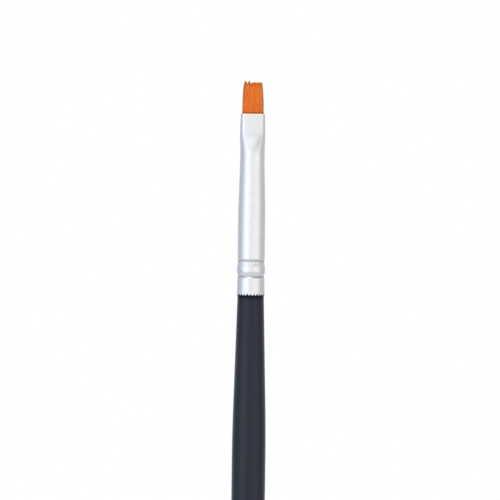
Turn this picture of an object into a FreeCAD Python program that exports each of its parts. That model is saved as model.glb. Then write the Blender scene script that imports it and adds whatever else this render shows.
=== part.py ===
"""A small flat detail brush: a turned and lacquered handle, a seamless ferrule that is
crimped on to it and pressed flat at its mouth, and a tuft of filaments that is tied and
cemented inside.

The brush stands along +Z with its tip up. Its flat faces look along -Y and +Y. The origin
is the middle of the belly, the thickest part of the handle. Lengths are in millimetres.
"""

import FreeCAD, Part
import math
import os

import Sketcher

SHEET = "Sizes"

# Every driving dimension: alias, value, what it is.
DIMENSIONS = [
    ("overall_length", 180.0, "tail of the handle to the tip of the tuft"),
    ("belly_drop", 32.6, "middle of the belly to the back edge of the ferrule"),
    ("belly_diameter", 6.32, "thickest part of the handle, over the lacquer"),
    ("belly_straight", 5.0, "cylindrical stretch of the belly"),
    ("belly_rise_radius", 350.0, "curve from the belly to the neck"),
    ("belly_fall_radius", 300.0, "curve from the belly to the tail"),
    ("neck_diameter", 4.94, "handle where it meets the ferrule, over the lacquer"),
    ("tail_diameter", 3.2, "handle just before its round end, over the lacquer"),
    ("lacquer_thickness", 0.16, "dried coats of primer and lacquer on the wood"),
    ("seat_diameter", 4.5, "tenon under the crimps"),
    ("seat_length", 7.2, "length of the tenon under the crimps"),
    ("tenon_diameter", 4.4, "glued front of the tenon"),
    ("tenon_length", 14.5, "whole tenon, inside the ferrule"),
    ("tenon_chamfer", 0.4, "lead-in on the end of the tenon"),
    ("glue_film", 0.135, "from the tenon to the outside of its glue"),
    ("ferrule_length", 34.0, "back edge to mouth"),
    ("ferrule_wall", 0.2, "thickness of the metal"),
    ("rim_diameter", 5.19, "ferrule at its back edge"),
    ("rim_length", 0.5, "straight stretch at the back edge"),
    ("barrel_diameter", 5.09, "cylindrical stretch in front of the crimps"),
    ("barrel_top", 16.1, "back edge to the front of the cylindrical stretch"),
    ("crimp_low", 3.62, "back edge to the middle of the rear crimp"),
    ("crimp_high", 6.5, "back edge to the middle of the front crimp"),
    ("crimp_width", 0.6, "width of a crimp along the ferrule"),
    ("crimp_depth", 0.12, "depth of a crimp"),
    ("land_diameter", 4.98, "ferrule between the crimps, without the bead"),
    ("bead_top", 5.95, "back edge to the front of the bead between the crimps"),
    ("bead_height", 0.16, "how far the bead stands proud of the land"),
    ("waist_diameter", 4.58, "narrowest round part, where the pressed nose starts"),
    ("press_length", 9.0, "pressed nose, from the waist to the mouth"),
    ("mouth_width", 4.58, "outside of the mouth across the flat"),
    ("mouth_thickness", 1.9, "outside of the mouth through the flat"),
    ("facet_length", 3.2, "mouth to the back of the flat facet"),
    ("facet_slope", 0.05, "how fast the facet rises from the mouth backwards"),
    ("round_depth", 7.8, "mouth to where the nose is round again"),
    ("nose_swell", 0.145, "extra width where the press squeezed the sides out"),
    ("tuft_reach", 6.0, "filaments outside the ferrule"),
    ("tuft_width", 4.04, "tuft at the mouth"),
    ("tuft_tip_width", 3.4, "tuft at its tip"),
    ("tuft_thickness", 1.4, "tuft at the mouth, through the flat"),
    ("tuft_tip_thickness", 0.6, "tuft at its chisel tip"),
    ("flex_clearance", 0.05, "gap between the bending tuft and its root"),
    ("root_depth", 11.25, "filaments inside the ferrule"),
    ("heel_diameter", 2.84, "tied round heel of the filaments"),
    ("thread_diameter", 0.18, "thread tied round the heel"),
    ("thread_turns", 6, "turns of the thread"),
    ("thread_start", 9.2, "mouth to the first turn"),
    ("cement_start", 3.0, "mouth to the front of the root cement"),
    ("cement_end", 12.0, "mouth to the back of the root cement"),
    ("fit_gap", 0.01, "gap left between glued faces"),
]

# How finely the lofted shapes are drawn.
TUFT_SECTIONS = 10
SECTION_STEP = 0.75
POINTS_PER_SECTION = 40

# How late the tuft narrows: a higher power keeps its sides straighter near the mouth.
TUFT_NARROWING = 2.6

# Cosine of the turn where a flat face meets a round side.
FLAT_COSINE = 0.35

# Where the nose swells, as the power of its share of the nose, and how suddenly.
SWELL_PLACE = 0.78
SWELL_POWER = 4


class Size:
    """A length with the expression that links it to the sheet."""

    def __init__(self, value, text):
        self.value = float(value)
        self.text = text

    def __add__(self, other):
        return join(self, "+", other, self.value + number(other))

    def __sub__(self, other):
        return join(self, "-", other, self.value - number(other))

    def __mul__(self, other):
        return join(self, "*", other, self.value * number(other))

    def __truediv__(self, other):
        return join(self, "/", other, self.value / number(other))


def number(value):
    """The plain number of a Size or a number."""
    return value.value if isinstance(value, Size) else float(value)


def join(left, sign, right, value):
    """The Size that two others give."""
    right_text = right.text if isinstance(right, Size) else repr(float(right))
    return Size(value, f"({left.text} {sign} {right_text})")


NOTHING = Size(0, "0")


def make_sheet(doc):
    """Writes the sheet and returns its dimensions by alias."""
    sheet = doc.addObject("Spreadsheet::Sheet", SHEET)
    sheet.set("A1", "dimension")
    sheet.set("B1", "mm")
    sheet.set("C1", "what it is")
    for row, (alias, value, note) in enumerate(DIMENSIONS, start=2):
        sheet.set(f"A{row}", alias)
        sheet.set(f"B{row}", str(value))
        sheet.setAlias(f"B{row}", alias)
        sheet.set(f"C{row}", note)
    doc.recompute()
    return {alias: Size(sheet.get(alias), f"{SHEET}.{alias}") for alias, _, _ in DIMENSIONS}


def bind(target, name, size):
    """Gives a property its value and its link to the sheet."""
    target.setExpression(name, size.text)


# ---------------------------------------------------------------- sketches


def origin_plane(body, role):
    """One of a body's own origin planes."""
    return next(f for f in body.Origin.OriginFeatures if f.Role == role)


def axial_sketch(body, name):
    """A sketch in the body's XZ plane: its X is the radius and its Y is the height."""
    sketch = body.newObject("Sketcher::SketchObject", name)
    sketch.AttachmentSupport = [(origin_plane(body, "XZ_Plane"), "")]
    sketch.MapMode = "FlatFace"
    return sketch


def arc_between(start, end, radius, centre_side):
    """The arc from start to end. centre_side is +1 with its centre to the left of the way
    from start to end, and -1 with it to the right. Returns the arc and whether the sketcher
    stores it the other way round."""
    chord = end - start
    half = chord.Length / 2
    left = FreeCAD.Vector(-chord.y, chord.x, 0).normalize()
    centre = (start + end) / 2 + left * centre_side * math.sqrt(radius**2 - half**2)
    circle = Part.Circle(centre, FreeCAD.Vector(0, 0, 1), radius)
    from_start = math.atan2(start.y - centre.y, start.x - centre.x)
    from_end = math.atan2(end.y - centre.y, end.x - centre.x)
    if centre_side > 0:
        return Part.ArcOfCircle(circle, from_start, from_end), False
    return Part.ArcOfCircle(circle, from_end, from_start), True


def closed_outline(sketch, corners, arcs=None, tangents=()):
    """Draws a closed outline and links it to the sheet.

    corners are (radius, height) pairs of Sizes. A plain number is only a starting place, and
    tangents then names the corner, where the two edges meet smoothly. arcs says which edges
    are arcs: {edge: (radius, centre side)}.
    """
    arcs = arcs or {}
    points = [FreeCAD.Vector(number(r), number(z), 0) for r, z in corners]
    count = len(points)
    first_ends, last_ends = [], []
    for i, start in enumerate(points):
        end = points[(i + 1) % count]
        if i in arcs:
            radius, side = arcs[i]
            edge, reversed_edge = arc_between(start, end, number(radius), side)
        else:
            edge, reversed_edge = Part.LineSegment(start, end), False
        sketch.addGeometry(edge, False)
        first_ends.append(2 if reversed_edge else 1)
        last_ends.append(1 if reversed_edge else 2)
    for i in range(count):
        before = (i - 1) % count
        kind = "Tangent" if i in tangents else "Coincident"
        sketch.addConstraint(Sketcher.Constraint(kind, before, last_ends[before], i, first_ends[i]))
    for i, (radius, height) in enumerate(corners):
        if number(radius) == 0:
            sketch.addConstraint(Sketcher.Constraint("PointOnObject", i, first_ends[i], -2))
        else:
            link_distance(sketch, "DistanceX", i, first_ends[i], radius)
        link_distance(sketch, "DistanceY", i, first_ends[i], height)
    for i, (radius, _) in arcs.items():
        index = sketch.addConstraint(Sketcher.Constraint("Radius", i, number(radius)))
        bind(sketch, f"Constraints[{index}]", radius)


def link_distance(sketch, kind, edge, end, size):
    """Holds one coordinate of a corner, unless it is only a starting place."""
    if not isinstance(size, Size):
        return
    index = sketch.addConstraint(Sketcher.Constraint(kind, -1, 1, edge, end, size.value))
    bind(sketch, f"Constraints[{index}]", size)


def revolve(body, name, sketch):
    """Turns a sketch once round the brush's axis."""
    turned = body.newObject("PartDesign::Revolution", name)
    turned.Profile = sketch
    turned.ReferenceAxis = (sketch, ["V_Axis"])
    turned.Angle = 360
    sketch.Visibility = False
    return turned


def sagitta_radius(width, height):
    """The radius of an arc of that chord width and height."""
    return (width * width / 4 + height * height) / (height * 2)


# ---------------------------------------------------------------- handle


def tangent_corner(centre, radius, point, side):
    """Where a straight line from point touches a circle, in the half plane."""
    to_point = point - centre
    turn = math.acos(radius / to_point.Length)
    angle = math.atan2(to_point.y, to_point.x) - side * turn
    return centre.x + radius * math.cos(angle), centre.y + radius * math.sin(angle)


def handle_body(doc, size, label, inset, with_tenon):
    """The handle turned to its outline, less an inset all round, with or without its tenon."""
    body = doc.addObject("PartDesign::Body", label.title().replace("_", ""))
    body.Label = label
    belly = size["belly_diameter"] / 2 - inset
    neck = size["neck_diameter"] / 2 - inset
    tail = size["tail_diameter"] / 2 - inset
    half_straight = size["belly_straight"] / 2
    rise = size["belly_rise_radius"] - inset
    fall = size["belly_fall_radius"] - inset
    neck_height = size["belly_drop"]
    tip_height = size["belly_drop"] + size["ferrule_length"] + size["tuft_reach"]
    tail_end = tip_height - size["overall_length"] + inset

    rise_centre = FreeCAD.Vector(number(belly - rise), number(half_straight), 0)
    fall_centre = FreeCAD.Vector(number(belly - fall), -number(half_straight), 0)
    neck_point = FreeCAD.Vector(number(neck), number(neck_height), 0)
    tail_point = FreeCAD.Vector(number(tail), number(tail_end + tail), 0)
    rise_corner = tangent_corner(rise_centre, number(rise), neck_point, 1)
    fall_corner = tangent_corner(fall_centre, number(fall), tail_point, -1)

    corners = [
        (NOTHING, tail_end),
        (tail, tail_end + tail),
        fall_corner,
        (belly, half_straight * -1),
        (belly, half_straight),
        rise_corner,
        (neck, neck_height),
    ]
    arcs = {0: (tail, 1), 2: (fall, 1), 4: (rise, 1)}
    if with_tenon:
        seat = size["seat_diameter"] / 2
        tenon = size["tenon_diameter"] / 2
        chamfer = size["tenon_chamfer"]
        seat_height = neck_height + size["seat_length"]
        end_height = neck_height + size["tenon_length"]
        corners += [
            (seat, neck_height),
            (seat, seat_height),
            (tenon, seat_height),
            (tenon, end_height - chamfer),
            (tenon - chamfer, end_height),
            (NOTHING, end_height),
        ]
    else:
        corners.append((NOTHING, neck_height))
    sketch = axial_sketch(body, label + "_outline")
    closed_outline(sketch, corners, arcs, tangents=(2, 3, 4, 5))
    revolve(body, label + "_turning", sketch)
    return body


def cut_crimp_bites(body, size):
    """The two rings that the ferrule's crimps pressed into the tenon."""
    reach = size["seat_diameter"] / 2 + size["fit_gap"]
    outside = (size["barrel_diameter"] + size["land_diameter"]) / 4 - size["crimp_depth"]
    floor = outside - size["ferrule_wall"] - size["fit_gap"]
    for name in ("crimp_low", "crimp_high"):
        middle = size["belly_drop"] + size[name]
        half = size["crimp_width"] / 2
        sketch = axial_sketch(body, name + "_bite")
        depth = reach - floor
        corners = [(reach, middle - half), (reach, middle + half)]
        arcs = {1: (sagitta_radius(size["crimp_width"], depth), 1)}
        closed_outline(sketch, corners, arcs)
        groove = body.newObject("PartDesign::Groove", name + "_groove")
        groove.Profile = sketch
        groove.ReferenceAxis = (sketch, ["V_Axis"])
        groove.Angle = 360
        sketch.Visibility = False


def make_handle(doc, size):
    """The wooden core with its tenon, and the lacquer over the part that shows."""
    bare = size["lacquer_thickness"]
    core = handle_body(doc, size, "handle_core", bare, with_tenon=True)
    doc.recompute()
    before = core.Shape.Volume
    cut_crimp_bites(core, size)
    doc.recompute()
    if core.Shape.Volume >= before:
        raise ValueError("the crimp bites cut nothing")
    coated = handle_body(doc, size, "handle_over_lacquer", NOTHING, with_tenon=False)
    lacquer = doc.addObject("Part::Cut", "LacquerCoat")
    lacquer.Label = "lacquer_coat"
    lacquer.Base = coated
    lacquer.Tool = core
    return core, lacquer


def make_tenon_glue(doc, size):
    """The film of glue round the front of the tenon."""
    body = doc.addObject("PartDesign::Body", "TenonGlue")
    body.Label = "tenon_glue"
    inner = size["tenon_diameter"] / 2 + size["fit_gap"]
    outer = inner + size["glue_film"] - size["fit_gap"]
    low = size["belly_drop"] + size["seat_length"] + size["fit_gap"]
    high = size["belly_drop"] + size["tenon_length"] - size["tenon_chamfer"]
    sketch = axial_sketch(body, "tenon_glue_ring")
    closed_outline(sketch, [(inner, low), (outer, low), (outer, high), (inner, high)])
    revolve(body, "tenon_glue_film", sketch)
    return body


# ---------------------------------------------------------------- ferrule


def ferrule_barrel(doc, size):
    """The round back of the ferrule: rim, two crimps with a bead on the land between them,
    cylinder and cone. The wall is equally thick all along, so its inside follows its outside."""
    body = doc.addObject("PartDesign::Body", "FerruleBarrel")
    body.Label = "ferrule_barrel"
    base = size["belly_drop"]
    rim = size["rim_diameter"] / 2
    barrel = size["barrel_diameter"] / 2
    land = size["land_diameter"] / 2
    waist = size["waist_diameter"] / 2
    half = size["crimp_width"] / 2
    low = base + size["crimp_low"]
    high = base + size["crimp_high"]
    outer = [
        (rim, base),
        (rim, base + size["rim_length"]),
        (barrel, low - half),
        (land, low + half),
        (land, base + size["bead_top"]),
        (land, high - half),
        (barrel, high + half),
        (barrel, base + size["barrel_top"]),
        (waist, base + size["ferrule_length"] - size["press_length"]),
    ]
    inner = [(radius - size["ferrule_wall"], height) for radius, height in reversed(outer)]
    crimp = sagitta_radius(size["crimp_width"], size["crimp_depth"])
    bead_length = size["bead_top"] - size["crimp_low"] - half
    bead = sagitta_radius(bead_length, size["bead_height"])
    arcs = {
        2: (crimp, -1),
        3: (bead, 1),
        5: (crimp, -1),
        11: (crimp, 1),
        13: (bead, -1),
        14: (crimp, 1),
    }
    sketch = axial_sketch(body, "ferrule_wall_outline")
    closed_outline(sketch, outer + inner, arcs)
    revolve(body, "ferrule_barrel_turning", sketch)
    return body


def mix(first, second, share):
    """The value that far from the first to the second."""
    return first + (second - first) * share


def oval_wire(half_width, half_thickness, height):
    """A closed curve with round sides and flat faces between them, which is a circle where the
    width is the thickness. The faces reach as far as FLAT_COSINE and are very slightly crowned."""
    face = half_width - half_thickness
    points = []
    for i in range(POINTS_PER_SECTION):
        turn = 2 * math.pi * i / POINTS_PER_SECTION
        along = min(max(math.cos(turn) / FLAT_COSINE, -1), 1)
        x = half_thickness * math.cos(turn) + face * math.sin(math.pi / 2 * along)
        points.append(FreeCAD.Vector(x, half_thickness * math.sin(turn), height))
    curve = Part.BSplineCurve()
    curve.interpolate(Points=points, PeriodicFlag=True)
    return Part.Wire([curve.toShape()])


def mouth_height(mm):
    """Height of the ferrule's mouth."""
    return mm["belly_drop"] + mm["ferrule_length"]


def release(mm, behind):
    """How far the nose has gone from pressed, 0, to round, 1, that far behind the mouth."""
    share = (behind - mm["facet_length"]) / (mm["round_depth"] - mm["facet_length"])
    share = min(max(share, 0), 1)
    return share * share * (3 - 2 * share)


def nose_oval(mm, behind, inset):
    """Half width and half thickness of the ferrule, some way behind the mouth: pressed in the
    nose, and round behind the waist, where it widens along a cone."""
    waist = mm["waist_diameter"] / 2
    past_waist = behind - mm["press_length"]
    if past_waist > 0:
        cone_length = mm["ferrule_length"] - mm["press_length"] - mm["barrel_top"]
        radius = mix(waist, mm["barrel_diameter"] / 2, past_waist / cone_length)
        return radius - inset, radius - inset
    behind = max(behind, 0)
    share = behind / mm["press_length"]
    across = mix(mm["mouth_width"] / 2, waist, share)
    across += mm["nose_swell"] / 2 * math.sin(math.pi * share**SWELL_PLACE) ** SWELL_POWER
    pressed = mm["mouth_thickness"] / 2 + mm["facet_slope"] * behind
    through = mix(pressed, across, release(mm, behind))
    return across - inset, through - inset


def loft_between(mm, back, front, oval_at):
    """A filled solid between two distances behind the mouth, with a section at every step.
    oval_at gives the section's oval at a distance behind the mouth."""
    steps = round((back - front) / SECTION_STEP)
    wires = []
    for i in range(steps + 1):
        behind = mix(back, front, i / steps)
        wires.append(oval_wire(*oval_at(behind), mouth_height(mm) - behind))
    return Part.makeLoft(wires, True)


def make_ferrule(doc, size, mm):
    """The seamless ferrule: the turned barrel and the pressed nose, in one piece."""
    barrel = ferrule_barrel(doc, size)
    nose = doc.addObject("Part::Feature", "FerruleNose")
    nose.Label = "ferrule_nose"
    back = mm["press_length"]
    outside = loft_between(mm, back, 0, lambda behind: nose_oval(mm, behind, 0))
    wall = mm["ferrule_wall"]
    past_mouth = -SECTION_STEP
    inside = loft_between(mm, back, past_mouth, lambda behind: nose_oval(mm, behind, wall))
    nose.Shape = outside.cut(inside)
    ferrule = doc.addObject("Part::Fuse", "Ferrule")
    ferrule.Label = "ferrule"
    ferrule.Base = barrel
    ferrule.Tool = nose
    return ferrule


# ---------------------------------------------------------------- tuft


def blend_ovals(first, last, share):
    """An oval between two others."""
    return [mix(a, b, share) for a, b in zip(first, last)]


def root_solid(mm):
    """The filaments inside the ferrule: a flat oval at the mouth, gathered to a round heel."""
    radius = mm["heel_diameter"] / 2
    at_mouth = (mm["tuft_width"] / 2, mm["tuft_thickness"] / 2)
    heel = (radius, radius)
    return loft_between(
        mm, mm["root_depth"], 0, lambda behind: blend_ovals(at_mouth, heel, release(mm, behind))
    )


def tuft_solid(mm):
    """The filaments outside the ferrule, with a round foot on which the tuft bends. The foot
    is set in a little from the faces of the tuft."""
    foot = mm["tuft_thickness"] / 2
    pivot = mouth_height(mm) + mm["flex_clearance"] + foot
    reach = mouth_height(mm) + mm["tuft_reach"] - pivot
    at_mouth = (mm["tuft_width"] / 2, foot)
    at_tip = (mm["tuft_tip_width"] / 2, mm["tuft_tip_thickness"] / 2)
    wires = []
    for i in range(TUFT_SECTIONS):
        share = i / (TUFT_SECTIONS - 1)
        oval = blend_ovals(at_mouth, at_tip, share**TUFT_NARROWING)
        wires.append(oval_wire(*oval, pivot + reach * share))
    length = mm["tuft_width"] - mm["tuft_thickness"]
    start, end = FreeCAD.Vector(-length / 2, 0, pivot), FreeCAD.Vector(length / 2, 0, pivot)
    radius = foot - mm["flex_clearance"]
    round_foot = Part.makeCylinder(radius, length, start, FreeCAD.Vector(1, 0, 0))
    ends = [Part.makeSphere(radius, start), Part.makeSphere(radius, end)]
    return Part.makeLoft(wires, True).fuse(round_foot.fuse(ends)).removeSplitter()


def wound_length(mm):
    """Length of the heel that the thread covers, with a gap on both sides of each turn."""
    return mm["thread_turns"] * (mm["thread_diameter"] + 2 * mm["fit_gap"])


def thread_solid(mm):
    """The thread wound round the heel, one turn beside the next."""
    length = wound_length(mm)
    radius = mm["heel_diameter"] / 2 + mm["thread_diameter"] / 2 + mm["fit_gap"]
    start = mouth_height(mm) - mm["thread_start"] - length
    helix = Part.makeHelix(length / mm["thread_turns"], length, radius)
    end_on = Part.Circle(
        FreeCAD.Vector(radius, 0, 0), FreeCAD.Vector(0, 1, 0), mm["thread_diameter"] / 2
    )
    thread = Part.Wire(helix.Edges).makePipeShell([Part.Wire([end_on.toShape()])], True, True)
    thread.translate(FreeCAD.Vector(0, 0, start))
    return thread


def cement_solid(mm, root):
    """The cement that fills the nose round the root, with a channel where the thread lies.
    Its lofted sides wander a little, so it keeps twice the gap from the wall and the thread."""
    gap = 2 * mm["fit_gap"]
    inset = mm["ferrule_wall"] + gap
    plug = loft_between(
        mm, mm["cement_end"], mm["cement_start"], lambda behind: nose_oval(mm, behind, inset)
    )
    outside_thread = mm["heel_diameter"] / 2 + mm["fit_gap"] + mm["thread_diameter"]
    channel_length = wound_length(mm) + 2 * mm["thread_diameter"]
    channel_front = mm["thread_start"] - mm["thread_diameter"]
    channel_back = mouth_height(mm) - channel_front - channel_length
    channel = Part.makeCylinder(
        outside_thread + gap, channel_length, FreeCAD.Vector(0, 0, channel_back)
    )
    return plug.cut(root).cut(channel)


def add_shape(doc, label, shape):
    """A sub-part whose shape comes from Part's own functions."""
    feature = doc.addObject("Part::Feature", label.title().replace("_", ""))
    feature.Label = label
    feature.Shape = shape
    return feature


# ---------------------------------------------------------------- writing


def check(doc, parts):
    """Stops on any object that failed or any sub-part that isn't a sound solid."""
    for item in doc.Objects:
        if "Invalid" in item.State or "Error" in item.State:
            raise ValueError(f"{item.Label} failed to compute: {item.State}")
    for part in parts:
        shape = part.Shape
        if shape.isNull() or not shape.isValid() or not shape.Solids:
            raise ValueError(f"{part.Label} isn't a sound solid")
        print(f"{part.Label:14s} {len(shape.Solids)} solid(s)  {shape.Volume:9.3f} mm3")


def main():
    doc = FreeCAD.newDocument("FlatBrush")
    size = make_sheet(doc)
    mm = {alias: length.value for alias, length in size.items()}
    core, lacquer = make_handle(doc, size)
    root = root_solid(mm)
    parts = [
        core,
        lacquer,
        make_tenon_glue(doc, size),
        make_ferrule(doc, size, mm),
        add_shape(doc, "tuft", tuft_solid(mm)),
        add_shape(doc, "tuft_root", root),
        add_shape(doc, "root_binding", thread_solid(mm)),
        add_shape(doc, "root_cement", cement_solid(mm, root)),
    ]
    doc.recompute()
    check(doc, parts)
    os.makedirs("parts", exist_ok=True)
    for part in parts:
        part.Shape.exportStep(f"parts/{part.Label}.step")


main()
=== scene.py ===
"""A small flat detail brush: lacquered handle, pressed and crimped ferrule, filament tuft.

Each piece of the brush has an operator, and the sizes and colours that a maker would change
are scene properties. Lengths are in metres. +Z runs towards the tip of the tuft, the flat of
the tuft looks along -Y and +Y, and the origin is the middle of the handle's belly.
"""

import math
import random

import bpy
from bpy.props import FloatProperty, FloatVectorProperty, IntProperty, PointerProperty
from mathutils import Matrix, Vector


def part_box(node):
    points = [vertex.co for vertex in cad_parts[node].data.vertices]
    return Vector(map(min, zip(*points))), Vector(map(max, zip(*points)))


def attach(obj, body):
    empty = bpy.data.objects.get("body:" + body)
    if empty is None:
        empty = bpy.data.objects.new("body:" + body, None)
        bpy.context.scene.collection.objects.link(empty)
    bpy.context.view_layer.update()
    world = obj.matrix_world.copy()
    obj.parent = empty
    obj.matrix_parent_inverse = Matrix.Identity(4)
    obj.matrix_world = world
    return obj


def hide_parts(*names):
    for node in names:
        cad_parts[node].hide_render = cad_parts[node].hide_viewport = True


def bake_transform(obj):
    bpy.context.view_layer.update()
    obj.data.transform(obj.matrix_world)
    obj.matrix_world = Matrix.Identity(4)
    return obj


bl_info = {
    "name": "Flat detail brush",
    "version": (1, 0, 0),
    "blender": (4, 5, 0),
    "location": "3D View > Sidebar > Brush",
    "description": "Builds a small flat filament brush piece by piece",
    "category": "Add Mesh",
}

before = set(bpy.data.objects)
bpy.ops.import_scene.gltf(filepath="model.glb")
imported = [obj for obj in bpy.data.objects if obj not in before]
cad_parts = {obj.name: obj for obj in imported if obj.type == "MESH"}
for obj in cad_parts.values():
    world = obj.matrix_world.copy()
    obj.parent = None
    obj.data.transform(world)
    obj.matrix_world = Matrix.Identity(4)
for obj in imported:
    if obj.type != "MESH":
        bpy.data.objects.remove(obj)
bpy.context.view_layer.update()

MM = 0.001

# Heights along the brush, from tail to tip.
HANDLE_LOW, HANDLE_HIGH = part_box("lacquer_coat")
TAIL = HANDLE_LOW.z
BACK, MOUTH = (corner.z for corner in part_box("ferrule"))
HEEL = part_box("tuft_root")[0].z
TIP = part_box("tuft")[1].z


# ---------------------------------------------------------------- sizes and colours


def length(name, description, default):
    """A length property, in metres."""
    return FloatProperty(
        name=name, description=description, default=default, unit="LENGTH", precision=5
    )


def colour(name, description, default):
    """A linear colour property."""
    return FloatVectorProperty(
        name=name, description=description, default=default, subtype="COLOR", min=0, max=1
    )


class HandleSettings(bpy.types.PropertyGroup):
    """The lacquered handle."""

    neck: length("Neck", "Diameter where the handle meets the ferrule", 4.94 * MM)
    belly: length("Belly", "Diameter of the thickest part", HANDLE_HIGH.x - HANDLE_LOW.x)
    tail: length("Tail", "Diameter before the round end", 3.2 * MM)
    straight: length("Straight", "Cylindrical stretch of the belly", 5.0 * MM)
    rise: length("Rise", "Radius of the curve from the belly to the neck", 350 * MM)
    fall: length("Fall", "Radius of the curve from the belly to the tail", 300 * MM)
    coat: length("Coat", "Thickness of the lacquer", 0.15 * MM)
    sides: IntProperty(name="Sides", description="Faces round the handle", default=96, min=24)
    lacquer: colour("Lacquer", "Body colour of the lacquer", (0.002, 0.0055, 0.0175))
    wood: colour("Wood", "Colour of the bare wood", (0.56, 0.36, 0.19))


class FerruleSettings(bpy.types.PropertyGroup):
    """The seamless metal ferrule."""

    rim: length("Rim", "Diameter at the back edge", 5.19 * MM)
    rim_length: length("Rim length", "Straight stretch at the back edge", 0.5 * MM)
    barrel: length("Barrel", "Diameter of the cylindrical stretch", 5.09 * MM)
    barrel_top: length("Barrel top", "Back edge to the end of the cylinder", 16.1 * MM)
    waist: length("Waist", "Diameter where the pressed nose starts", 4.58 * MM)
    press: length("Press", "Length of the pressed nose", 9.0 * MM)
    mouth_width: length("Mouth width", "Outside of the mouth across the flat", 4.58 * MM)
    mouth_thickness: length("Mouth thickness", "Outside of the mouth through the flat", 1.9 * MM)
    facet: length("Facet", "Mouth to the back of the flat facet", 3.2 * MM)
    facet_slope: FloatProperty(
        name="Facet slope", description="Rise of the facet for its length", default=0.05, min=0
    )
    round_depth: length("Round depth", "Mouth to where the nose is round again", 7.8 * MM)
    swell: length("Swell", "Extra width where the press squeezed the sides out", 0.145 * MM)
    crimp_low: length("Rear crimp", "Back edge to the rear crimp", 3.62 * MM)
    crimp_high: length("Front crimp", "Back edge to the front crimp", 6.5 * MM)
    crimp_width: length("Crimp width", "Width of a crimp", 0.6 * MM)
    crimp_depth: length("Crimp depth", "Depth of a crimp", 0.12 * MM)
    land: length("Land", "Diameter between the crimps, without the bead", 4.98 * MM)
    bead_top: length("Bead top", "Back edge to the front of the bead", 5.95 * MM)
    bead: length("Bead", "How far the bead between the crimps stands proud", 0.16 * MM)
    wall: length("Wall", "Thickness of the metal", 0.2 * MM)
    teeth: IntProperty(name="Teeth", description="Teeth of the crimping tool", default=26, min=8)
    tooth: length("Tooth", "Depth of the teeth on the back edge", 0.4 * MM)
    facets: length("Facets", "How far the back edge is dented between its teeth", 0.065 * MM)
    knurl: length("Knurl", "How far the teeth push the front crimp to and fro", 0.3 * MM)
    metal: colour("Metal", "Colour of the metal", (0.815, 0.815, 0.825))
    # Painted shade: the metal darker in the crimps and on the back of the bead, where shade falls.
    painted_shade: colour("Dirt", "Metal in the crimps, dulled by dirt", (0.38, 0.38, 0.40))
    # A painted reflection of the orange tuft in the metal at the mouth.
    lip_reflection: colour("Lip", "Metal at the mouth, filmed with dyed cement", (1.0, 0.80, 0.60))


class TuftSettings(bpy.types.PropertyGroup):
    """The filaments."""

    width: length("Width", "Tuft at the mouth, across the flat", 4.07 * MM)
    thickness: length("Thickness", "Tuft at the mouth, through the flat", 1.4 * MM)
    tip_width: length("Tip width", "Tuft at its tip", 3.43 * MM)
    tip_thickness: length("Tip thickness", "Tuft at its chisel tip", 0.5 * MM)
    heel: length("Heel", "Diameter of the tied heel", 2.84 * MM)
    filament: length("Filament", "Diameter of one filament", 0.1 * MM)
    seed: IntProperty(name="Seed", description="Seed of the filaments' small differences", default=4)
    dark: colour("Dark", "Darkest filaments", (1.0, 0.18, 0.006))
    light: colour("Light", "Lightest filaments", (1.0, 0.36, 0.07))
    # Painted shade on the filaments along the tuft's two edges.
    edge: colour("Edge", "Filaments along the tuft's two edges", (0.46, 0.19, 0.07))
    # Painted shade on the filaments where they enter the mouth.
    mouth_shade: colour("Soaked", "Filaments wetted by the cement at the mouth", (0.17, 0.055, 0.006))
    stained: colour("Stained", "Tips that hold a little old paint", (0.25, 0.17, 0.04))


class StageSettings(bpy.types.PropertyGroup):
    """Floor, camera and studio light."""

    floor_radius: length("Floor radius", "Radius of the pale floor", 0.45)
    view_height: length("View height", "Height of the view at the brush", 93.55 * MM)
    lens: FloatProperty(name="Lens", description="Focal length in millimetres", default=200, min=20)
    lean: FloatProperty(
        name="Lean", description="How far the brush leans in the view", default=math.radians(0.72),
        subtype="ANGLE",
    )


# ---------------------------------------------------------------- modelling helpers


def start_piece(name, radius, height, sides):
    """Adds a flat disc as the start of a new piece and returns its object, in edit mode."""
    if bpy.context.mode != "OBJECT":
        bpy.ops.object.mode_set(mode="OBJECT")
    bpy.ops.object.select_all(action="DESELECT")
    bpy.ops.mesh.primitive_circle_add(
        vertices=sides, radius=radius, fill_type="NGON", location=(0, 0, 0)
    )
    piece = bpy.context.object
    piece.name = piece.data.name = name
    bpy.ops.object.mode_set(mode="EDIT")
    bpy.ops.mesh.select_mode(type="VERT")
    bpy.ops.mesh.select_all(action="SELECT")
    bpy.ops.transform.translate(value=(0, 0, height))
    return piece


def turn(name, rings, sides, open_start=False, open_end=False):
    """Turns a piece as on a lathe: each ring, a radius and a height, is extruded from the one
    before and resized. Returns the object, with its normals outwards."""
    radius, height = rings[0]
    piece = start_piece(name, radius, height, sides)
    for next_radius, next_height in rings[1:]:
        bpy.ops.mesh.extrude_region_move(
            TRANSFORM_OT_translate={"value": (0, 0, next_height - height)}
        )
        scale = next_radius / radius
        bpy.ops.transform.resize(value=(scale, scale, 1), center_override=(0, 0, next_height))
        radius, height = next_radius, next_height
    bpy.ops.mesh.select_all(action="SELECT")
    bpy.ops.mesh.normals_make_consistent(inside=False)
    bpy.ops.object.mode_set(mode="OBJECT")
    open_ends(piece, sides, open_start, open_end)
    return piece


def open_ends(piece, sides, start, end):
    """Deletes the flat disc at the start or the end of a turned piece."""
    bpy.ops.object.mode_set(mode="EDIT")
    bpy.ops.mesh.select_mode(type="FACE")
    bpy.ops.mesh.select_all(action="DESELECT")
    bpy.ops.object.mode_set(mode="OBJECT")
    discs = [face for face in piece.data.polygons if len(face.vertices) == sides]
    middle = sum(disc.center.z for disc in discs) / len(discs)
    for disc in discs:
        disc.select = start if disc.center.z < middle else end
    bpy.ops.object.mode_set(mode="EDIT")
    bpy.ops.mesh.delete(type="FACE")
    bpy.ops.object.mode_set(mode="OBJECT")


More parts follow.
